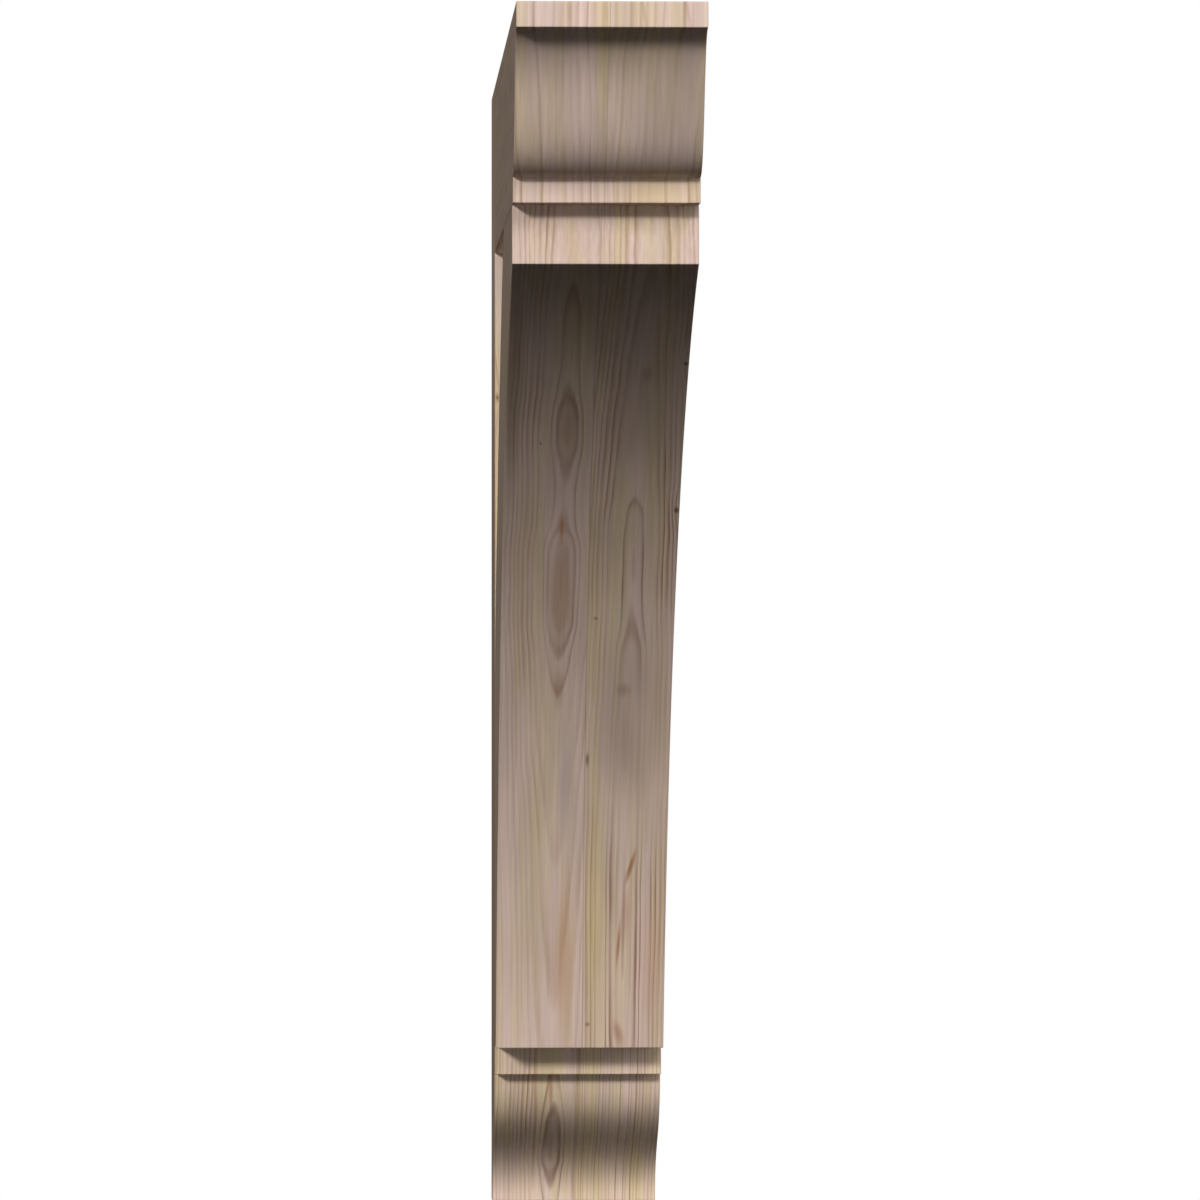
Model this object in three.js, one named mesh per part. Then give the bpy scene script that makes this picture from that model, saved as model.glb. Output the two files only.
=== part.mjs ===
import * as THREE from 'three';

// A timber corbel bracket for a wall: a top beam, a wall post and a curved brace in the corner
// between them. Millimetres, +Z up. The origin is the middle of the post's back face, which lies
// flat on the wall. The bracket reaches out from the wall along -Y, and X runs across its width.

// The three timbers
const section = 139.7; // side of the square timber, a dressed six by six
const reach = 944; // wall to the front end of the beam
const height = 944; // foot of the post to the top of the beam
const jointGap = 0.3; // between timbers that touch

// The cut end, drawn for the beam: down from its top and back from its front
const fasciaDepth = 19; // flat end face
const filletDepth = 19; // flat step between the cyma and the underside
const filletSetback = 115; // front end to the fillet
const hollowPull = 56; // how far the cyma runs level as it leaves the fascia
const roundPull = 60; // how far it runs level as it comes to the fillet

// The curved brace
const braceSetback = section; // front of the beam to the brace's nose, and the foot likewise
const braceTip = 44; // depth of the upright nose and of the level foot
const archRadius = 965; // hollow front of the brace
const braceDepth = 168; // from the hollow front to the round back

const curveSteps = 32; // an arc gets twice as many

const top = height / 2;
const bottom = -height / 2;
const underside = top - section; // of the beam
const postFront = section;

// Every timber is drawn as it is seen from the side: x is the distance out from the wall, y is up.

// Adds a cut end to an outline, from the fascia to the fillet: a cyma with level ends. place turns
// a depth from the timber's outer face and a distance from its end into a point of the outline.
function cutEnd(outline, place) {
  const cymaEnd = section - filletDepth;
  outline.lineTo(...place(0, 0));
  outline.lineTo(...place(fasciaDepth, 0));
  outline.bezierCurveTo(
    ...place(fasciaDepth, hollowPull),
    ...place(cymaEnd, filletSetback - roundPull),
    ...place(cymaEnd, filletSetback),
  );
  outline.lineTo(...place(section, filletSetback));
}

// The beam butts against the post, with its top level with the post's.
function beamOutline() {
  const outline = new THREE.Shape();
  outline.moveTo(postFront + jointGap, top);
  cutEnd(outline, (depth, back) => [reach - back, top - depth]);
  outline.lineTo(postFront + jointGap, underside);
  return outline;
}

// The post runs the full height. Its foot is the beam's end, mirrored across the diagonal.
function postOutline() {
  const outline = new THREE.Shape();
  outline.moveTo(0, top);
  cutEnd(outline, (depth, back) => [depth, bottom + back]);
  outline.lineTo(postFront, top);
  return outline;
}

// The brace lies between two arcs about one centre on the corner's diagonal. The front arc runs
// from the nose's lower edge to the foot's front edge, and the centre follows from that.
function braceOutline() {
  const leg = reach - braceSetback - section;
  const chord = leg - braceTip;
  const centre = (leg + braceTip + Math.sqrt(2 * archRadius ** 2 - chord ** 2)) / 2;
  const centreOut = postFront + centre;
  const centreUp = underside - centre;
  const backRadius = archRadius + braceDepth;

  const nose = Math.atan2(centre - braceTip, leg - centre);
  const foot = Math.atan2(centre - leg, braceTip - centre);
  const backTop = Math.PI - Math.asin((centre - jointGap) / backRadius);
  const backFoot = Math.acos((jointGap - centre) / backRadius);

  const outline = new THREE.Shape();
  outline.moveTo(postFront + leg, underside - jointGap);
  outline.lineTo(postFront + leg, underside - braceTip);
  outline.absarc(centreOut, centreUp, archRadius, nose, foot, false);
  outline.lineTo(postFront + jointGap, underside - leg);
  outline.absarc(centreOut, centreUp, backRadius, backFoot, backTop, true);
  return outline;
}

// Cuts an outline out of timber as thick as the section is wide, its grain left to the material.
function timber(name, outline, colour) {
  const geometry = new THREE.ExtrudeGeometry(outline, {
    depth: section,
    bevelEnabled: false,
    curveSegments: curveSteps,
  });
  const material = new THREE.MeshStandardMaterial({ color: colour, roughness: 0.7, metalness: 0 });
  const mesh = new THREE.Mesh(geometry, material);
  mesh.name = name;
  mesh.position.z = -section / 2;
  return mesh;
}

// Stands the side view up: its x runs out from the wall, its y up, and its thickness across.
const bracket = new THREE.Group();
bracket.name = 'corbel_bracket';
bracket.setRotationFromMatrix(
  new THREE.Matrix4().makeBasis(
    new THREE.Vector3(0, -1, 0),
    new THREE.Vector3(0, 0, 1),
    new THREE.Vector3(-1, 0, 0),
  ),
);
bracket.add(
  timber('top_beam', beamOutline(), 0xc4aa95),
  timber('wall_post', postOutline(), 0xbda58f),
  timber('curved_brace', braceOutline(), 0xb5a08b),
);

export default bracket;
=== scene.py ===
import math

import bpy
import numpy as np
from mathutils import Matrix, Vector


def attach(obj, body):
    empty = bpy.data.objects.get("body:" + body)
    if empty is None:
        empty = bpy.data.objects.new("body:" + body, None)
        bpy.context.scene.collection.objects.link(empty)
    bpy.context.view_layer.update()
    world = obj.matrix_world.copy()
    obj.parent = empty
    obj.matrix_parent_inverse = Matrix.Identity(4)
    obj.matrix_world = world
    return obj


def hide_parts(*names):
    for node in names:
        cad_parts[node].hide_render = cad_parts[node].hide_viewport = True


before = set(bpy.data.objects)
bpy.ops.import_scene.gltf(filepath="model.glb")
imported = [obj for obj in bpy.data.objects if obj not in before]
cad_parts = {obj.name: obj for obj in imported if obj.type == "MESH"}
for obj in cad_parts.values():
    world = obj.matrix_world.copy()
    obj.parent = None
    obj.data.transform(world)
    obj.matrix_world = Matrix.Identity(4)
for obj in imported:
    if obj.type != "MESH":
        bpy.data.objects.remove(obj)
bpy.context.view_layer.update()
scene = bpy.context.scene
mm = 0.001
print(f"frame: {len(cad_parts)} solids loaded")

# The bracket: a top beam, a wall post and a curved brace, planed from square fir timber.
# The wall is at y = 0, the front faces -Y, x runs across the width, z is up. Sizes in millimetres.
bracket = {
    "width": 139.7,         # side of the square section
    "reach": 944.0,         # wall to front end
    "height": 944.0,        # foot to top
    "gap": 0.3,             # between timbers that touch
    "corner": 0.8,          # radius that sandpaper leaves on the edges across the timber
    "ease": 0.6,            # and on those along its sides
    "easeSteps": 4,         # faces round an eased edge
    "border": 1.0,          # narrow faces beside an eased edge, which keep the rest evenly shaded
    "hold": 0.5,            # the same at both ends of a run of an outline
    "slopeStep": 0.2,       # a run's direction is read this far to both sides of a point
    "arcStep": 3.0,         # mesh spacing along an arc
    "cymaPoints": 72,
    "sharpAngle": 32.0,     # degrees between faces, past which an edge isn't shaded smooth
}
top = bracket["height"] / 2
bottom = -top
underside = top - bracket["width"]
postFront = bracket["width"]

# The cut end, down from the beam's top and back from its front
cutEnd = {
    "fascia": 19.0,
    "fillet": 19.0,
    "setback": 115.0,
    "hollowPull": 56.0,     # how far the cyma runs level at the fascia
    "roundPull": 60.0,      # and at the fillet
}


def hexColour(code):
    # sRGB hex to linear, with alpha 1
    values = [int(code[i:i + 2], 16) / 255 for i in (1, 3, 5)]
    return (*[v / 12.92 if v <= 0.04045 else ((v + 0.055) / 1.055) ** 2.4 for v in values], 1.0)


def addNode(tree, kind, inputs=(), out=0, **settings):
    # Adds one node: inputs in order or by name, each a value or a socket to link; returns an output.
    # A Mix node takes its factor at 0, numbers at 2 and 3, vectors at 4 and 5, colours at 6 and 7.
    node = tree.nodes.new(kind)
    for name, value in settings.items():
        setattr(node, name, value)
    named = inputs.items() if isinstance(inputs, dict) else enumerate(inputs)
    for key, value in named:
        if isinstance(value, bpy.types.NodeSocket):
            tree.links.new(value, node.inputs[key])
        elif value is not None:
            node.inputs[key].default_value = value
    return node.outputs[out] if len(node.outputs) else node


# Outlines are seen from the side: the first number is out from the wall, the second is up.
def straight(start, end):
    # start + t (end - start), at t = 0 and t = 1
    return np.array([start, end], float)


def cyma(place):
    # cubic curve with level ends: (1-t)^3 a + 3t(1-t)^2 b + 3t^2(1-t) c + t^3 d;
    # place turns a depth below the cut end's top and a distance back into a point of the outline
    fascia, end = cutEnd["fascia"], bracket["width"] - cutEnd["fillet"]
    a, b, c, d = [np.array(place(*p)) for p in (
        (fascia, 0),
        (fascia, cutEnd["hollowPull"]),
        (end, cutEnd["setback"] - cutEnd["roundPull"]),
        (end, cutEnd["setback"]),
    )]
    t = np.linspace(0, 1, bracket["cymaPoints"])[:, None]
    return (1 - t) ** 3 * a + 3 * t * (1 - t) ** 2 * b + 3 * t ** 2 * (1 - t) * c + t ** 3 * d


def arc(centre, radius, start, end):
    # centre + radius (cos a, sin a), a from start to end
    count = int(abs(end - start) * radius / bracket["arcStep"]) + 2
    a = np.linspace(start, end, count)
    return np.stack([centre[0] + radius * np.cos(a), centre[1] + radius * np.sin(a)], axis=1)


def alongRun(run, where):
    # points of a run at the given lengths from its start
    steps = np.linalg.norm(np.diff(run, axis=0), axis=1)
    length = np.concatenate([[0], np.cumsum(steps)])
    return np.stack([np.interp(where, length, run[:, k]) for k in (0, 1)], axis=1)


def heading(vectors):
    # v / |v|
    return vectors / np.linalg.norm(vectors, axis=-1, keepdims=True)


def inwardOf(directions):
    # a quarter turn to the left, which is inward on a loop that runs anticlockwise
    return np.stack([-directions[..., 1], directions[..., 0]], axis=-1)


def easedLoop(runs):
    # Closes runs end to end, anticlockwise, and rounds the corners that stick out: an arc
    # corner + r ((a + b) / (1 + a.b) - n), with n turning from one run's inward normal a to the
    # next one's, b. Returns the points and, for each, the vector to move by for one unit of inset.
    r, hold, step = bracket["corner"], bracket["hold"], bracket["slopeStep"]
    count = len(runs)
    first = [heading(run[1] - run[0]) for run in runs]
    last = [heading(run[-1] - run[-2]) for run in runs]
    turn = []
    for k in range(count):
        a, b = last[k], first[(k + 1) % count]
        turn.append(math.atan2(a[0] * b[1] - a[1] * b[0], a @ b))
    points, insets = [], []
    for k, run in enumerate(runs):
        start = r * math.tan(turn[k - 1] / 2) if turn[k - 1] > 0 else 0.0
        end = r * math.tan(turn[k] / 2) if turn[k] > 0 else 0.0
        length = np.linalg.norm(np.diff(run, axis=0), axis=1).sum()
        where = np.linspace(start + hold, length - end - hold, max(len(run) - 2, 2))
        where = np.concatenate([[start], where, [length - end]])
        if turn[k - 1] < 0:
            where = where[1:]
        if turn[k] < 0:
            where = where[:-1]
        points.append(alongRun(run, where))
        ahead = alongRun(run, np.clip(where + step, 0, length))
        behind = alongRun(run, np.clip(where - step, 0, length))
        insets.append(inwardOf(heading(ahead - behind)))
        a, b = inwardOf(last[k]), inwardOf(first[(k + 1) % count])
        mitre = (a + b) / (1 + a @ b)
        corner = run[-1]
        if turn[k] > 0:
            angle = np.linspace(0, turn[k], bracket["easeSteps"] + 1)[1:-1, None]
            across = np.array([-a[1], a[0]])
            normal = np.cos(angle) * a + np.sin(angle) * across
            points.append(corner + r * mitre - r * normal)
            insets.append(normal)
        else:
            points.append(corner[None, :])
            insets.append(mitre[None, :])
    return np.concatenate(points), np.concatenate(insets)


def timberMesh(name, loop, inward):
    # the loop carried across the width: p(i, j) = loop_i + e_j inward_i at x_j, where x_j and e_j
    # follow a quarter circle at each side, and a flat cap closes each side
    half, ease = bracket["width"] / 2, bracket["ease"]
    turn = np.linspace(0, math.pi / 2, bracket["easeSteps"] + 1)
    x = np.concatenate([[0, half - ease - bracket["border"]], half - ease + ease * np.sin(turn)])
    inset = np.concatenate([[0, 0], ease * (1 - np.cos(turn))])
    x = np.concatenate([-x[:0:-1], x])
    inset = np.concatenate([inset[:0:-1], inset])
    flat = loop[:, None, :] + inward[:, None, :] * inset[None, :, None]
    n, m = len(loop), len(x)
    points = np.empty((n, m, 3))
    points[..., 0] = x[None, :]
    points[..., 1] = -flat[..., 0]
    points[..., 2] = flat[..., 1]
    index = np.arange(n * m).reshape(n, m)
    after = np.roll(index, -1, axis=0)
    quads = np.stack([index[:, :-1], index[:, 1:], after[:, 1:], after[:, :-1]], axis=-1).reshape(-1, 4)
    faces = quads.tolist() + [index[:, 0].tolist(), index[::-1, -1].tolist()]
    mesh = bpy.data.meshes.new(name)
    mesh.from_pydata((points.reshape(-1, 3) * mm).tolist(), [], faces)
    mesh.set_sharp_from_angle(angle=math.radians(bracket["sharpAngle"]))
    smooth = np.ones(len(faces), bool)
    smooth[-2:] = False     # the caps are flat
    mesh.polygons.foreach_set("use_smooth", smooth)
    mesh.update()
    piece = bpy.data.objects.new(name, mesh)
    scene.collection.objects.link(piece)
    return piece


# Planed Douglas fir, sawn from the log, dried and run through a planer: pale pinkish wood laid down
# in spring, with a thin tan or ochre line at the end of each year, matt and unfinished. Each timber
# is glued up from two boards side by side, so the figure changes at a seam near mid width.
fir = {
    "pink": "#dfc5b8",
    "yellow": "#d9c49b",
    "ochre": "#b08a60",         # yearly lines
    "brown": "#a17e6b",
    "glue": "#94795f",
    "rubbed": "#c9b096",        # long edges, where hands and packing touch
    "sides": 0.84,              # painted shade: the sides are darkened, standing in for the weaker light on them
    "ior": 1.45,
    # sizes of the patterns across, into and along the timber; real fibres are finer than these
    "wander": (30, 60, 150),
    "clouds": (22, 60, 110),
    "drift": (14, 60, 300),
    "fibre": (2.2, 12, 90),
    # a year's growth from spring to autumn: share of the year, darkness
    "year": ((0.2, 0.02), (0.5, 0.18), (0.7, 0.8), (0.84, 1.0), (0.94, 0.4)),
    "intoFace": 1 / 7,          # how fast the rings change into the face, beside across it
    "swell": 0.7,               # how far rings grow and shrink, as a share of how far they sway
    "uneven": (0.45, 1.3),      # years differ in width: how often per year, and by how many years
    "yearTint": 0.3,            # how much yellower a single year can be
    "deepestPith": 40.0,        # top of the scale of the pithDepth curves
    "strongestLines": 2.5,      # and of the lines curves
    "knotFade": 0.15,           # how fast a knot dies out below the face, per mm of depth
    "knotReach": (4, 12),       # it bends the rings over this many times its width, across and along
    "knotPush": 0.4,            # and pushes them by this share of its width
    # each turns the first two values of a pattern into the last two
    "sideTurn": (0.6, 0.8, 0.0, 1.0),
    "lineStrength": (0.0, 1.0, 0.1, 0.62),
    "lineFade": (0.3, 0.68, 0.4, 1.35),
    "yellowing": (0.36, 0.64, -0.4, 0.5),
    "fibreShade": (0.3, 0.7, 0.92, 1.07),
    "cloudShade": (0.3, 0.7, 0.94, 1.06),
    "glueLine": (0.2, 0.6, 0.4, 0.0),
    "rubbedEdge": (bracket["width"] / 2 - 1.6, bracket["width"] / 2 - 0.4, 0.0, 0.5),
    "rubbedHere": (0.4, 0.6, 0.0, 1.0),
    "roughness": (0.3, 0.7, 0.56, 0.66),
    # added to the roughness, because late wood and rubbed edges shine a little more
    "lineRoughness": -0.08,
    "rubbedRoughness": -0.15,
    # height of the fibres, how strongly it shows, and the share of it by which late wood is prouder
    "relief": 0.2,
    "reliefStrength": 0.3,
    "lineRelief": 0.5,
}


def spot(tree, face, x, along, wide, tall, lean=0.0, soft=0.9):
    # 1 inside an ellipse wide by tall, falling smoothly to 0 at its rim over the share soft of its
    # radius; lean is dx over dlength
    away = addNode(tree, "ShaderNodeVectorMath", [face, (-x, 0.0, -along)], operation="ADD")
    if lean:
        offAxis = addNode(tree, "ShaderNodeVectorMath", [away, (0.0, 0.0, -lean)], out="Value",
                          operation="DOT_PRODUCT")
        offAxis = addNode(tree, "ShaderNodeCombineXYZ", [offAxis])
        away = addNode(tree, "ShaderNodeVectorMath", [away, offAxis], operation="ADD")
    away = addNode(tree, "ShaderNodeVectorMath", [away, (2 / wide, 1.0, 2 / tall)], operation="MULTIPLY")
    away = addNode(tree, "ShaderNodeVectorMath", [away], out="Value", operation="LENGTH")
    return addNode(tree, "ShaderNodeMapRange", [away, 1 - soft, 1.0, 1.0, 0.0],
                   interpolation_type="SMOOTHSTEP")


def fromFront(tree, face, timber, fade):
    # the face's own place with its depth counted from the timber's front, times fade: a mark
    # drawn on it dies out at a depth of 1 / fade
    shift = (0.0, -fade * timber["front"], 0.0)
    return addNode(tree, "ShaderNodeVectorMath", [face, (1.0, fade, 1.0), shift], operation="MULTIPLY_ADD")


def paintMarks(tree, wood, face, marks):
    # wood + share spot (colour - wood), for each mark in turn
    for colour, share, *where in marks:
        mask = spot(tree, face, *where)
        mask = addNode(tree, "ShaderNodeMath", [mask, share], operation="MULTIPLY")
        wood = addNode(tree, "ShaderNodeMix", {0: mask, 6: wood, 7: hexColour(colour)},
                       out=2, data_type="RGBA")
    return wood


def growth(tree, grain, size, offset=None, detail=2.0, out="Fac"):
    # smooth noise round 0.5 at grain / size + offset, so its blobs are about that size
    place = addNode(tree, "ShaderNodeVectorMath", [grain, tuple(1 / s for s in size), offset],
                    operation="MULTIPLY_ADD")
    return addNode(tree, "ShaderNodeTexNoise", {"Vector": place, "Scale": 1.0, "Detail": detail}, out=out)


def woodPlace(tree, grainOf):
    # x in millimetres, and the point's place in the timber's own directions: across, depth, along.
    # The face and the side have a place each, and the side's takes over as |nx| goes from 0.6 to 0.8.
    place = addNode(tree, "ShaderNodeTexCoord", out="Object")
    place = addNode(tree, "ShaderNodeVectorMath", [place, (1 / mm, 1 / mm, 1 / mm)], operation="MULTIPLY")
    x, y, z = addNode(tree, "ShaderNodeSeparateXYZ", [place]).node.outputs
    face, side = grainOf(tree, x, y, z)
    isSide = addNode(tree, "ShaderNodeNewGeometry", out="Normal")
    isSide = addNode(tree, "ShaderNodeSeparateXYZ", [isSide])
    isSide = addNode(tree, "ShaderNodeMath", [isSide], operation="ABSOLUTE")
    isSide = addNode(tree, "ShaderNodeMapRange", [isSide, *fir["sideTurn"]])
    grain = addNode(tree, "ShaderNodeMix", {0: isSide, 4: face, 5: side}, out=1, data_type="VECTOR")
    return x, face, grain, isSide


def boardValues(tree, timber, x, along):
    # Distance from the seam, x - (start + slope along), and two ways to ask for a value of the
    # board that the point is in: one that stays the same, and one that changes over the length.
    start, slope = timber["seam"]
    left, right = timber["boards"]
    seam = addNode(tree, "ShaderNodeMath", [along, slope, start], operation="MULTIPLY_ADD")
    fromSeam = addNode(tree, "ShaderNodeMath", [x, seam], operation="SUBTRACT")
    isRight = addNode(tree, "ShaderNodeMath", [fromSeam, 0.0], operation="GREATER_THAN")

    def either(key):
        return addNode(tree, "ShaderNodeMix", {0: isRight, 2: left[key], 3: right[key]})

    def eitherCurve(key, where, most):
        # a curve through (length, value) pairs, with no value above most
        share = addNode(tree, "ShaderNodeMath", [where, 1 / timber["length"]], operation="MULTIPLY")
        both = []
        for board in (left, right):
            curve = addNode(tree, "ShaderNodeFloatCurve", {"Value": share})
            points = curve.node.mapping.curves[0].points
            path = [(length / timber["length"], value / most) for length, value in board[key]]
            points[0].location, points[-1].location = path[0], path[-1]
            for length, value in path[1:-1]:
                points.new(length, value)
            curve.node.mapping.update()
            both.append(curve)
        value = addNode(tree, "ShaderNodeMix", {0: isRight, 2: both[0], 3: both[1]})
        return addNode(tree, "ShaderNodeMath", [value, most], operation="MULTIPLY")

    return fromSeam, either, eitherCurve


def ringCount(tree, timber, grain, near, offset, pithDepth, either):
    # Rings lie round a pith that runs lengthwise at pithX, pithDepth behind the face:
    # r = sqrt((x - pithX)^2 + pithDepth^2 + (depth / 7)^2), count = ringsPerMm r + tighten r^2 + shift.
    # pithDepth changes over the length, so a ring closes to an oval where it passes the ring's radius.
    across, depth, _ = addNode(tree, "ShaderNodeSeparateXYZ", [grain]).node.outputs

    # the tree didn't grow straight: the rings wander by a few millimetres
    wander = growth(tree, grain, fir["wander"], offset, out="Color")
    wander = addNode(tree, "ShaderNodeSeparateXYZ", [wander]).node.outputs
    dx = addNode(tree, "ShaderNodeMath", [across, either("pithX")], operation="SUBTRACT")
    sway = addNode(tree, "ShaderNodeMath", [wander[0], 0.5], operation="SUBTRACT")
    dx = addNode(tree, "ShaderNodeMath", [sway, timber["sway"], dx], operation="MULTIPLY_ADD")
    shallow = addNode(tree, "ShaderNodeMath", [depth, fir["intoFace"]], operation="MULTIPLY")
    radius = addNode(tree, "ShaderNodeCombineXYZ", [dx, pithDepth, shallow])
    radius = addNode(tree, "ShaderNodeVectorMath", [radius], out="Value", operation="LENGTH")
    swell = addNode(tree, "ShaderNodeMath", [wander[1], 0.5], operation="SUBTRACT")
    radius = addNode(tree, "ShaderNodeMath", [swell, timber["sway"] * fir["swell"], radius],
                     operation="MULTIPLY_ADD")

    # a knot pushes the rings aside
    for _, _, knotX, knotAlong, wide, _ in timber["knots"]:
        reachAcross, reachAlong = fir["knotReach"]
        push = spot(tree, near, knotX, knotAlong, wide * reachAcross, wide * reachAlong, soft=1.0)
        radius = addNode(tree, "ShaderNodeMath", [push, wide * fir["knotPush"], radius],
                         operation="MULTIPLY_ADD")

    squared = addNode(tree, "ShaderNodeMath", [radius, radius], operation="MULTIPLY")
    rings = addNode(tree, "ShaderNodeMath", [radius, either("ringsPerMm"), either("shift")],
                    operation="MULTIPLY_ADD")
    rings = addNode(tree, "ShaderNodeMath", [squared, either("tighten"), rings], operation="MULTIPLY_ADD")
    often, years = fir["uneven"]
    uneven = addNode(tree, "ShaderNodeTexNoise", {"W": rings, "Scale": often, "Detail": 1.0},
                     noise_dimensions="1D")
    return addNode(tree, "ShaderNodeMath", [uneven, years, rings], operation="MULTIPLY_ADD")


def yearlyLine(tree, rings, fade, lines):
    # How dark a point is in the line at its year's end, late(fraction of rings) x strength, and three
    # random numbers of its year. Each line has its own strength, and comes and goes along the timber.
    number = addNode(tree, "ShaderNodeMath", [rings], operation="FLOOR")
    phase = addNode(tree, "ShaderNodeMath", [rings], operation="FRACT")
    late = addNode(tree, "ShaderNodeValToRGB", [phase])
    ramp = late.node.color_ramp
    ramp.interpolation = "B_SPLINE"
    for where, value in fir["year"]:
        ramp.elements.new(where).color = (value, value, value, 1)
    ramp.elements[0].color = ramp.elements[-1].color = (0, 0, 0, 1)
    chance = addNode(tree, "ShaderNodeTexWhiteNoise", {"W": number}, out="Color", noise_dimensions="1D")
    chance = addNode(tree, "ShaderNodeSeparateXYZ", [chance]).node.outputs
    strength = addNode(tree, "ShaderNodeMapRange", [chance[0], *fir["lineStrength"]])
    strength = addNode(tree, "ShaderNodeMath", [strength, fade], operation="MULTIPLY")
    strength = addNode(tree, "ShaderNodeMath", [strength, lines], operation="MULTIPLY")
    line = addNode(tree, "ShaderNodeMath", [late, strength], operation="MULTIPLY", use_clamp=True)
    return line, chance


def planedFir(name, timber, grainOf):
    # wood = shade x (pink to yellow by tint, then brown or ochre by line), with marks, seam, knots
    # and rubbed edges laid over it
    material = bpy.data.materials.new(name)
    material.use_nodes = True
    tree = material.node_tree
    tree.nodes.clear()
    x, face, grain, isSide = woodPlace(tree, grainOf)
    along = addNode(tree, "ShaderNodeSeparateXYZ", [grain], out=2)
    faceAlong = addNode(tree, "ShaderNodeSeparateXYZ", [face], out=2)
    fromSeam, either, eitherCurve = boardValues(tree, timber, x, along)
    pithDepth = eitherCurve("pithDepth", along, fir["deepestPith"])
    lines = eitherCurve("lines", faceAlong, fir["strongestLines"])
    marked = fromFront(tree, face, timber, timber["markFade"])
    near = fromFront(tree, face, timber, fir["knotFade"])
    seed = either("seed")
    offset = addNode(tree, "ShaderNodeCombineXYZ", [seed, seed, seed])

    rings = ringCount(tree, timber, grain, near, offset, pithDepth, either)
    clouds = growth(tree, grain, fir["clouds"], offset, out="Color")
    clouds = addNode(tree, "ShaderNodeSeparateXYZ", [clouds]).node.outputs
    fade = addNode(tree, "ShaderNodeMapRange", [clouds[0], *fir["lineFade"]])
    line, chance = yearlyLine(tree, rings, fade, lines)

    # pink to yellow by slow drifts and by single years, then the yearly line over it
    drift = growth(tree, grain, fir["drift"], offset, detail=3.0)
    tint = addNode(tree, "ShaderNodeMapRange", [drift, *fir["yellowing"]])
    tint = addNode(tree, "ShaderNodeMath", [chance[1], fir["yearTint"], tint], operation="MULTIPLY_ADD")
    tint = addNode(tree, "ShaderNodeMath", [tint, either("yellow")], operation="ADD", use_clamp=True)
    wood = addNode(tree, "ShaderNodeMix", {0: tint, 6: hexColour(fir["pink"]), 7: hexColour(fir["yellow"])},
                   out=2, data_type="RGBA")
    dark = addNode(tree, "ShaderNodeMix",
                   {0: chance[2], 6: hexColour(fir["ochre"]), 7: hexColour(fir["brown"])},
                   out=2, data_type="RGBA")
    wood = addNode(tree, "ShaderNodeMix", {0: line, 6: wood, 7: dark}, out=2, data_type="RGBA")
    wood = paintMarks(tree, wood, marked, timber["marks"])

    # fibres, up to two millimetres wide and some centimetres long, over slow light and dark
    fibre = growth(tree, grain, fir["fibre"], detail=3.0)
    shade = addNode(tree, "ShaderNodeMapRange", [fibre, *fir["fibreShade"]])
    slowShade = addNode(tree, "ShaderNodeMapRange", [clouds[2], *fir["cloudShade"]])
    shade = addNode(tree, "ShaderNodeMath", [shade, slowShade], operation="MULTIPLY")
    shade = addNode(tree, "ShaderNodeMath", [shade, timber["pale"]], operation="MULTIPLY")
    # painted shade: the sides' colour is scaled down by fir's sides value, in place of less light on them
    paintedSideShade = addNode(tree, "ShaderNodeMapRange", [isSide, 0.0, 1.0, 1.0, fir["sides"]])
    shade = addNode(tree, "ShaderNodeMath", [shade, paintedSideShade], operation="MULTIPLY")
    wood = addNode(tree, "ShaderNodeVectorMath", {0: wood, "Scale": shade}, operation="SCALE")

    seam = addNode(tree, "ShaderNodeMath", [fromSeam], operation="ABSOLUTE")
    seam = addNode(tree, "ShaderNodeMapRange", [seam, *fir["glueLine"]])
    wood = addNode(tree, "ShaderNodeMix", {0: seam, 6: wood, 7: hexColour(fir["glue"])},
                   out=2, data_type="RGBA")
    wood = paintMarks(tree, wood, near, timber["knots"])

    # the two long edges are rubbed here and there
    edge = addNode(tree, "ShaderNodeMath", [x], operation="ABSOLUTE")
    edge = addNode(tree, "ShaderNodeMapRange", [edge, *fir["rubbedEdge"]])
    worn = addNode(tree, "ShaderNodeMapRange", [clouds[1], *fir["rubbedHere"]])
    edge = addNode(tree, "ShaderNodeMath", [edge, worn], operation="MULTIPLY")
    wood = addNode(tree, "ShaderNodeMix", {0: edge, 6: wood, 7: hexColour(fir["rubbed"])},
                   out=2, data_type="RGBA")

    # late wood stands a little proud of the planed face, and shines a little more
    height = addNode(tree, "ShaderNodeMath", [line, fir["lineRelief"], fibre], operation="MULTIPLY_ADD")
    bump = addNode(tree, "ShaderNodeBump",
                   {"Strength": fir["reliefStrength"], "Distance": fir["relief"] * mm, "Height": height})
    matt = addNode(tree, "ShaderNodeMapRange", [fibre, *fir["roughness"]])
    matt = addNode(tree, "ShaderNodeMath", [line, fir["lineRoughness"], matt], operation="MULTIPLY_ADD")
    matt = addNode(tree, "ShaderNodeMath", [edge, fir["rubbedRoughness"], matt], operation="MULTIPLY_ADD")
    shader = addNode(tree, "ShaderNodeBsdfPrincipled",
                     {"Base Color": wood, "Roughness": matt, "IOR": fir["ior"], "Normal": bump})
    addNode(tree, "ShaderNodeOutputMaterial", [shader])
    return material


# Each timber has a grain function: it turns a point into its place across, into and along the wood,
# once for the front, top, back and underside, and once for the two sides. The wood changes more
# slowly into these surfaces than across them, by the two rates here.
grainRate = {"front": 0.5, "side": 0.2}


def dress(piece, timber, grainOf, node):
    # the piece gets its wood, and takes the place of its solid
    piece.data.materials.append(planedFir(piece.name + "Fir", timber, grainOf))
    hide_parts(node)
    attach(piece, "root")
    print(f"{piece.name}: {len(piece.data.polygons)} faces")


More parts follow.
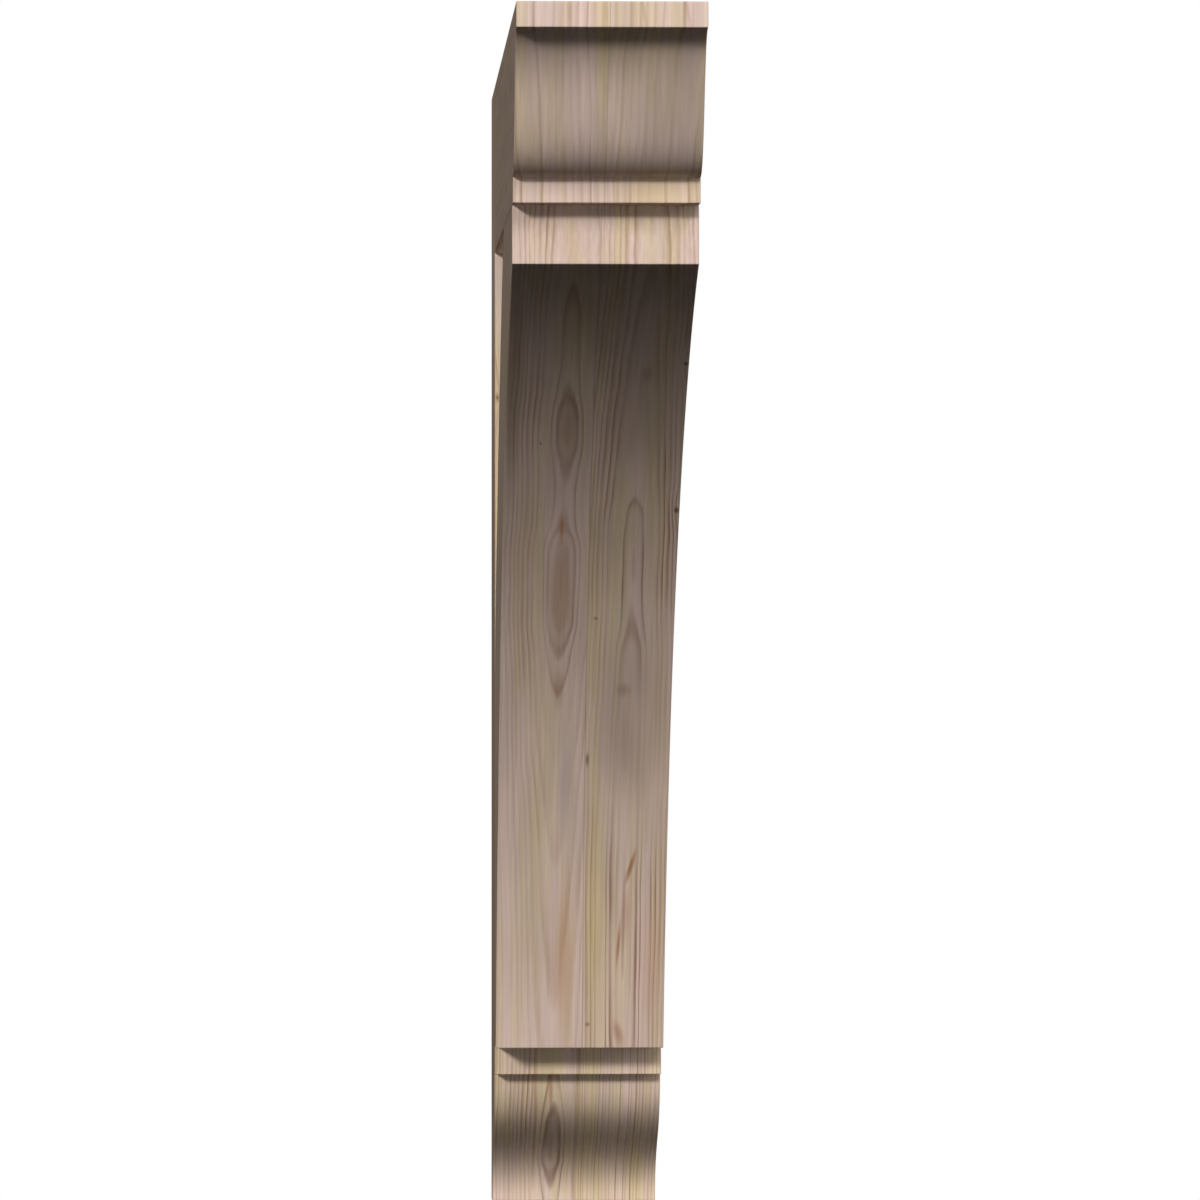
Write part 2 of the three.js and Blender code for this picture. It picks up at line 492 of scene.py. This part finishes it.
# Top beam. Its boards are sawn so that the rings stand upright across the front end. Lengths on its
# front are counted in z. A mark is: colour, share, x, length, width, height, lean, softness.
beam = {
    "length": 1000.0,       # the curves below run over this length
    "seam": (-1.5, 0.0),    # x at length 0, and its change over the length
    "sway": 7.0,            # how far the rings wander
    "pale": 1.0,            # how light it is beside the others
    "front": bracket["reach"] * grainRate["front"],    # the front's place in the wood's own depth
    "markFade": 0.004,      # how fast marks die out below the front, per mm of that depth
    "boards": (
        {"pithX": -110.0, "seed": 3.2, "ringsPerMm": 1 / 4.6, "shift": 0.3, "tighten": 0.0, "yellow": 0.05,
         "pithDepth": ((0, 14), (500, 10), (1000, 16)),
         "lines": ((0, 1.0), (330, 1.3), (348, 1.2), (356, 0.75), (448, 0.75), (456, 1.6),
                   (500, 1.3), (1000, 1.0))},
        {"pithX": 96.0, "seed": 11.7, "ringsPerMm": 1 / 4.4, "shift": 0.6, "tighten": 0.0, "yellow": -0.1,
         "pithDepth": ((0, 12), (500, 16), (1000, 12)),
         "lines": ((0, 1.0), (330, 1.4), (348, 1.3), (356, 0.8), (448, 0.8), (456, 1.7),
                   (500, 1.3), (1000, 1.0))},
    ),
    "marks": (
        ("#b08a5c", 0.45, -31.0, 464.0, 6.0, 46.0),      # ochre and brown stripes on the fascia
        ("#a9846a", 0.35, -4.0, 464.0, 4.0, 46.0),
        ("#b8926a", 0.30, 15.0, 464.0, 5.0, 46.0),
        ("#b08a5c", 0.40, 23.0, 464.0, 5.0, 46.0, -0.15),
        ("#b58a75", 0.35, 55.0, 464.0, 5.0, 46.0, -0.2),
        ("#dfc68c", 0.55, 36.0, 338.0, 90.0, 60.0),      # yellow, on the right of the fillet
        ("#ad8757", 0.35, 8.0, 336.0, 4.0, 50.0),
        ("#ad8757", 0.35, 17.0, 336.0, 4.0, 50.0),
        ("#a89684", 0.45, 48.0, 402.0, 120.0, 110.0),    # duller, on the right of the cyma
    ),
    "knots": (),
}


def beamGrain(tree, x, y, z):
    # face (x, -y / 2, z), side (z from mid height, x / 5, -y)
    back = addNode(tree, "ShaderNodeMath", [y, -grainRate["front"]], operation="MULTIPLY")
    face = addNode(tree, "ShaderNodeCombineXYZ", [x, back, z])
    height = addNode(tree, "ShaderNodeMath", [z, (top + underside) / 2], operation="SUBTRACT")
    out = addNode(tree, "ShaderNodeMath", [y, -1.0], operation="MULTIPLY")
    inner = addNode(tree, "ShaderNodeMath", [x, grainRate["side"]], operation="MULTIPLY")
    return face, addNode(tree, "ShaderNodeCombineXYZ", [height, inner, out])


def makeBeam():
    # anticlockwise: back, underside, fillet, cyma, fascia, top
    def place(depth, back):
        return bracket["reach"] - back, top - depth
    back = postFront + bracket["gap"]
    curve = cyma(place)
    fillet = place(bracket["width"], cutEnd["setback"])
    loop = easedLoop([
        straight((back, top), (back, underside)),
        straight((back, underside), fillet),
        straight(fillet, curve[-1]),
        curve[::-1],
        straight(curve[0], place(0, 0)),
        straight(place(0, 0), (back, top)),
    ])
    dress(timberMesh("topBeam", *loop), beam, beamGrain, "top_beam")


makeBeam()

# Wall post. Its rings run up it, and lengths are counted from its foot.
post = {
    "length": 1000.0,
    "seam": (-1.0, 0.0),
    "sway": 4.0,
    "pale": 1.1,
    "front": postFront * grainRate["front"],
    "markFade": 0.004,
    "boards": (
        {"pithX": -20.0, "seed": 5.4, "ringsPerMm": 1 / 4.2, "shift": 0.1, "tighten": 0.0008, "yellow": 0.2,
         "pithDepth": ((0, 9.5), (26, 6.6), (56, 1), (84, 4), (108, 7), (160, 9), (300, 14), (1000, 12)),
         "lines": ((0, 1.5), (140, 1.5), (220, 1.2), (1000, 1.0))},
        {"pithX": 90.0, "seed": 21.3, "ringsPerMm": 1 / 2.9, "shift": 0.0, "tighten": 0.0, "yellow": 0.28,
         "pithDepth": ((0, 12), (500, 16), (1000, 12)),
         "lines": ((0, 1.7), (140, 1.7), (220, 1.2), (1000, 1.0))},
    ),
    "marks": (
        ("#b0773f", 0.60, -35.0, 75.0, 4.5, 190.0),      # ochre streaks on the foot
        ("#b57a42", 0.60, -22.0, 100.0, 4.5, 50.0),
        ("#8a6c48", 0.30, -22.0, 56.0, 14.0, 62.0),      # inside the pointed oval
        ("#a9835a", 0.30, 7.0, 40.0, 4.0, 160.0),
        ("#e4d0c6", 0.60, -68.0, 790.0, 20.0, 190.0),    # pinkish above the knot, yellow below it
        ("#d8c49c", 0.50, -67.0, 560.0, 14.0, 220.0),
        ("#8a7361", 0.40, -69.9, 250.0, 3.0, 1100.0, 0.0, 0.5),    # painted shade on the left side: darker and browner, low down
    ),
    "knots": (
        ("#a3855c", 0.75, -67.4, 683.0, 8.0, 13.0),      # a pin knot in its ring
        ("#5b4130", 0.85, -67.6, 683.0, 2.4, 3.6),
    ),
}


def postGrain(tree, x, y, z):
    # face (x, -y / 2, z from the foot), side (-y from mid depth, x / 5, z from the foot)
    back = addNode(tree, "ShaderNodeMath", [y, -grainRate["front"]], operation="MULTIPLY")
    up = addNode(tree, "ShaderNodeMath", [z, bottom], operation="SUBTRACT")
    face = addNode(tree, "ShaderNodeCombineXYZ", [x, back, up])
    out = addNode(tree, "ShaderNodeMath", [y, -1.0, -postFront / 2], operation="MULTIPLY_ADD")
    inner = addNode(tree, "ShaderNodeMath", [x, grainRate["side"]], operation="MULTIPLY")
    return face, addNode(tree, "ShaderNodeCombineXYZ", [out, inner, up])


def makePost():
    # anticlockwise: top, back, foot, cyma, fillet, front
    def place(depth, back):
        return depth, bottom + back
    curve = cyma(place)
    fillet = place(bracket["width"], cutEnd["setback"])
    loop = easedLoop([
        straight((postFront, top), (0, top)),
        straight((0, top), (0, bottom)),
        straight((0, bottom), curve[0]),
        curve,
        straight(curve[-1], fillet),
        straight(fillet, (postFront, top)),
    ])
    dress(timberMesh("wallPost", *loop), post, postGrain, "wall_post")


makePost()

# Curved brace. Both arcs have one centre, on the diagonal of the corner. Lengths are counted down
# the hollow front from the nose.
brace = {
    "setback": bracket["width"],    # behind the beam's front, and above the post's foot
    "tip": 44.0,                    # depth of the nose and of the foot
    "archRadius": 965.0,
    "depth": 168.0,                 # hollow front to round back
    "sidePith": 160.0,              # from the top of the wall corner to mid figure on the sides
    "sideStart": 700.0,             # added to lengths on the sides, so that they start near the nose
    "length": 920.0,
    "seam": (-3.0, 0.0058),
    "sway": 5.0,
    "pale": 0.98,
    "front": 0.0,
    "markFade": 0.02,
    "boards": (
        {"pithX": -22.0, "seed": 7.1, "ringsPerMm": 1 / 4.8, "shift": -0.35, "tighten": 0.001,
         "yellow": -0.05,
         "pithDepth": ((0, 16), (60, 14.6), (120, 13.4), (190, 12.4), (216, 11.3), (268, 8.4),
                       (318, 11.3), (350, 12.3), (382, 11.3), (408, 6), (435, 2), (480, 2.5),
                       (515, 8.6), (532, 11.5), (566, 15), (620, 18.6), (680, 22), (920, 30)),
         "lines": ((0, 1.4), (60, 1.1), (230, 1.4), (330, 1.0), (450, 1.1), (560, 1.0), (640, 0.7),
                   (800, 0.7), (920, 0.8))},
        {"pithX": 35.0, "seed": 15.9, "ringsPerMm": 1 / 4.8, "shift": -0.3, "tighten": 0.0012,
         "yellow": 0.05,
         "pithDepth": ((0, 24), (200, 19.5), (300, 17), (349, 15.6), (375, 13.4), (410, 12.2),
                       (484, 11.8), (506, 10.8), (532, 8.2), (562, 6.8), (620, 3.5), (780, 2), (920, 5)),
         "lines": ((0, 1.2), (60, 1.2), (250, 1.5), (430, 2.0), (490, 1.1), (560, 0.9), (640, 0.7),
                   (700, 1.0), (800, 2.0), (920, 1.7))},
    ),
    "marks": (
        ("#9a8663", 0.50, -65.0, 200.0, 18.0, 430.0),    # olive, at the left edge
        ("#c9a184", 0.45, -24.0, -16.0, 26.0, 62.0),     # pink and ochre on the nose
        ("#b0865c", 0.55, -40.0, -24.0, 5.0, 70.0),
        ("#b0865c", 0.50, -13.0, -24.0, 5.0, 70.0),
        ("#ab8468", 0.30, 15.0, -24.0, 4.0, 70.0),
        ("#ab8468", 0.30, 46.0, -24.0, 5.0, 70.0, -0.15),
        ("#a9824f", 0.45, -21.0, 269.0, 14.0, 84.0, 0.0, 0.7),    # inside the ovals
        ("#a9805c", 0.50, -22.0, 464.0, 21.0, 150.0, 0.0, 0.6),
        ("#b47c50", 0.65, -23.0, 392.0, 6.0, 50.0),
        ("#a98067", 0.45, -22.0, 568.0, 11.0, 60.0),
        ("#b7a7a6", 0.45, -14.0, 668.0, 20.0, 170.0),    # greyish pink below them
        ("#c08f62", 0.50, -14.0, 831.0, 20.0, 210.0),    # ochre, low on the left board
        ("#c9c4a8", 0.40, 24.0, 488.0, 5.0, 50.0),
        ("#96705c", 0.60, 30.5, 570.0, 18.0, 22.0),      # reddish, at the points of the rings
        ("#b98f7c", 0.40, 34.0, 622.0, 16.0, 90.0),
        ("#b19b89", 0.50, 38.0, 600.0, 80.0, 230.0, 0.0, 0.7),    # duller, on the right board
        ("#b19b89", 0.35, 38.0, 235.0, 80.0, 220.0, 0.0, 0.7),
        ("#d6bd85", 0.45, 12.0, 800.0, 26.0, 330.0),     # yellow beside the seam
        ("#a3683f", 0.80, 40.0, 745.0, 6.5, 48.0, -0.25),    # resin streaks
        ("#a3683f", 0.75, 31.0, 818.0, 4.5, 60.0, -0.06),
        ("#c79b88", 0.45, 37.0, 790.0, 14.0, 70.0),
        ("#ae7860", 0.60, 32.0, 898.0, 12.0, 34.0, 0.25),
        ("#c29682", 0.40, 58.0, 840.0, 26.0, 170.0),
        ("#8a6a55", 0.30, 38.5, 190.0, 13.0, 34.0),
        ("#6f5c3e", 0.75, 2.6, 641.0, 4.6, 20.0),        # dark mark on the seam
        ("#7c5f47", 0.60, 6.5, 494.0, 6.0, 5.0),
        ("#7c5f47", 0.60, -42.0, 286.0, 3.6, 5.0),
        ("#8a6548", 0.70, 6.4, 890.0, 6.0, 6.0),
    ),
    "knots": (
        ("#5b4130", 0.85, 67.3, 370.0, 6.0, 11.0),
        ("#5b4130", 0.85, 67.6, 174.0, 5.0, 9.0),
    ),
}
leg = bracket["reach"] - brace["setback"] - postFront
archCentre = (leg + brace["tip"] + math.sqrt(2 * brace["archRadius"] ** 2 - (leg - brace["tip"]) ** 2)) / 2
archMiddle = (postFront + archCentre, underside - archCentre)
noseAngle = math.atan2(archCentre - brace["tip"], leg - archCentre)
footAngle = math.atan2(archCentre - leg, brace["tip"] - archCentre)


def braceGrain(tree, x, y, z):
    # the front follows the arch: depth = radius - arch radius, length = arch radius times angle
    out = addNode(tree, "ShaderNodeMath", [y, archMiddle[0]], operation="ADD")
    up = addNode(tree, "ShaderNodeMath", [z, archMiddle[1]], operation="SUBTRACT")
    radius = addNode(tree, "ShaderNodeCombineXYZ", [out, up, 0.0])
    radius = addNode(tree, "ShaderNodeVectorMath", [radius], out="Value", operation="LENGTH")
    depth = addNode(tree, "ShaderNodeMath", [radius, brace["archRadius"]], operation="SUBTRACT")
    angle = addNode(tree, "ShaderNodeMath", [up, out], operation="ARCTAN2")
    length = addNode(tree, "ShaderNodeMath", [math.pi - noseAngle, angle], operation="SUBTRACT")
    length = addNode(tree, "ShaderNodeMath", [length, brace["archRadius"]], operation="MULTIPLY")
    face = addNode(tree, "ShaderNodeCombineXYZ", [x, depth, length])
    # the sides run straight along the brace, at 45 degrees: (-y - z) and (y - z), times sqrt(1/2)
    slant = math.sqrt(0.5)
    down = underside * slant - brace["sidePith"]
    inner = addNode(tree, "ShaderNodeMath", [x, grainRate["side"]], operation="MULTIPLY")
    low = addNode(tree, "ShaderNodeMath", [z, -slant, down], operation="MULTIPLY_ADD")
    depthDown = addNode(tree, "ShaderNodeMath", [y, -slant, low], operation="MULTIPLY_ADD")
    lengthDown = addNode(tree, "ShaderNodeMath", [y, slant, low], operation="MULTIPLY_ADD")
    lengthDown = addNode(tree, "ShaderNodeMath", [lengthDown, brace["sideStart"]], operation="ADD")
    return face, addNode(tree, "ShaderNodeCombineXYZ", [depthDown, inner, lengthDown])


def makeBrace():
    # anticlockwise: top, round back, flat against the post, foot, hollow front, nose
    gap, radius = bracket["gap"], brace["archRadius"]
    backRadius = radius + brace["depth"]
    backTop = math.pi - math.asin((archCentre - gap) / backRadius)
    backFoot = math.acos((gap - archCentre) / backRadius)
    front = arc(archMiddle, radius, noseAngle, footAngle)
    back = arc(archMiddle, backRadius, backFoot, backTop)
    noseTop = (postFront + leg, underside - gap)
    footBack = (postFront + gap, underside - leg)
    loop = easedLoop([
        straight(noseTop, back[-1]),
        back[::-1],
        straight(back[0], footBack),
        straight(footBack, front[-1]),
        front[::-1],
        straight(front[0], noseTop),
    ])
    dress(timberMesh("curvedBrace", *loop), brace, braceGrain, "curved_brace")


makeBrace()

# Floor, well below the bracket. It is pale and matt, and fades to white at its rim.
floor = {
    "below": 1200.0,
    "radius": 5000.0,
    "corners": 96,
    "fadeFrom": 1500.0,     # distance from the bracket's middle
    "fadeTo": 4600.0,
    "colour": "#f4f3f1",
    "white": (1, 1, 1, 1),
}


def makeFloor():
    # a disc with its rim at radius (cos a, sin a)
    a = np.linspace(0, 2 * math.pi, floor["corners"], endpoint=False)
    rim = np.stack([np.cos(a), np.sin(a), np.zeros(floor["corners"])], axis=1) * floor["radius"] * mm
    rim[:, 2] = -floor["below"] * mm
    mesh = bpy.data.meshes.new("floor")
    mesh.from_pydata(rim.tolist(), [], [list(range(floor["corners"]))])
    piece = bpy.data.objects.new("floor", mesh)
    scene.collection.objects.link(piece)
    material = bpy.data.materials.new("paleMattFloor")
    material.use_nodes = True
    tree = material.node_tree
    tree.nodes.clear()
    place = addNode(tree, "ShaderNodeTexCoord", out="Object")
    away = addNode(tree, "ShaderNodeVectorMath", [place], out="Value", operation="LENGTH")
    fade = addNode(tree, "ShaderNodeMapRange", [away, floor["fadeFrom"] * mm, floor["fadeTo"] * mm, 0.0, 1.0],
                   interpolation_type="SMOOTHSTEP")
    matt = addNode(tree, "ShaderNodeBsdfDiffuse", {"Color": hexColour(floor["colour"])})
    white = addNode(tree, "ShaderNodeEmission", {"Color": floor["white"], "Strength": 1.0})
    both = addNode(tree, "ShaderNodeMixShader", {0: fade, 1: matt, 2: white})
    addNode(tree, "ShaderNodeOutputMaterial", [both])
    mesh.materials.append(material)
    piece.visible_diffuse = False
    piece.visible_glossy = False
    print(f"floor: {floor['below']} mm below the middle")


makeFloor()

# Camera: far off and slightly to the left of the bracket, near its mid height, with a long lens.
camera = {
    "place": (-185.45, -6095.0, 10.2),
    "yaw": 1.962,           # degrees to the right
    "pitch": 0.297,         # degrees up
    "lens": 212.93,         # millimetres
    "sensor": 36.0,
    "farthest": 100.0,      # metres
}


def makeCamera():
    data = bpy.data.cameras.new("camera")
    data.lens = camera["lens"]
    data.sensor_width = camera["sensor"]
    data.clip_end = camera["farthest"]
    view = bpy.data.objects.new("camera", data)
    scene.collection.objects.link(view)
    view.location = Vector(camera["place"]) * mm
    yaw, pitch = math.radians(camera["yaw"]), math.radians(camera["pitch"])
    ahead = Vector((math.sin(yaw) * math.cos(pitch), math.cos(yaw) * math.cos(pitch), math.sin(pitch)))
    view.rotation_euler = ahead.to_track_quat("-Z", "Y").to_euler()
    scene.camera = view
    print(f"camera: {camera['lens']} mm lens")


makeCamera()

# Studio light from far off: a soft key from the upper left, and broad fills that leave the left
# side and everything that faces down in shade. High and low stand for light thrown back by a pale
# room, so they cast no shadow. Rear lights the back. The white surroundings are seen, but don't light.
# Toward points at the lamp, spread is in degrees.
lights = {
    "key": {"toward": (-0.56, -1.0, 0.40), "spread": 8.0, "strength": 1.88},
    "upper": {"toward": (0.21, -0.79, 0.57), "spread": 24.0, "strength": 0.76},
    "right": {"toward": (0.88, -0.41, 0.26), "spread": 30.0, "strength": 0.96},
    "high": {"toward": (0.18, -0.68, 0.71), "spread": 30.0, "strength": 0.48, "shadow": False},
    "low": {"toward": (0.16, -0.94, -0.30), "spread": 30.0, "strength": 0.2, "shadow": False},
    "rear": {"toward": (0.25, 1.0, 0.3), "spread": 30.0, "strength": 0.9},
}
surroundings = {"colour": (1, 1, 1, 1), "strength": 1.0}


def makeLights():
    for name, light in lights.items():
        data = bpy.data.lights.new(name, "SUN")
        data.angle = math.radians(light["spread"])
        data.energy = light["strength"]
        data.use_shadow = light.get("shadow", True)
        lamp = bpy.data.objects.new(name, data)
        scene.collection.objects.link(lamp)
        lamp.rotation_euler = Vector(light["toward"]).to_track_quat("Z", "Y").to_euler()
    world = scene.world or bpy.data.worlds.new("studio")
    scene.world = world
    world.use_nodes = True
    tree = world.node_tree
    tree.nodes.clear()
    white = addNode(tree, "ShaderNodeBackground",
                    {"Color": surroundings["colour"], "Strength": surroundings["strength"]})
    addNode(tree, "ShaderNodeOutputWorld", [white])
    world.cycles_visibility.diffuse = False
    world.cycles_visibility.glossy = False
    scene.view_settings.view_transform = "Standard"
    print(f"lights: {', '.join(lights)}")


makeLights()
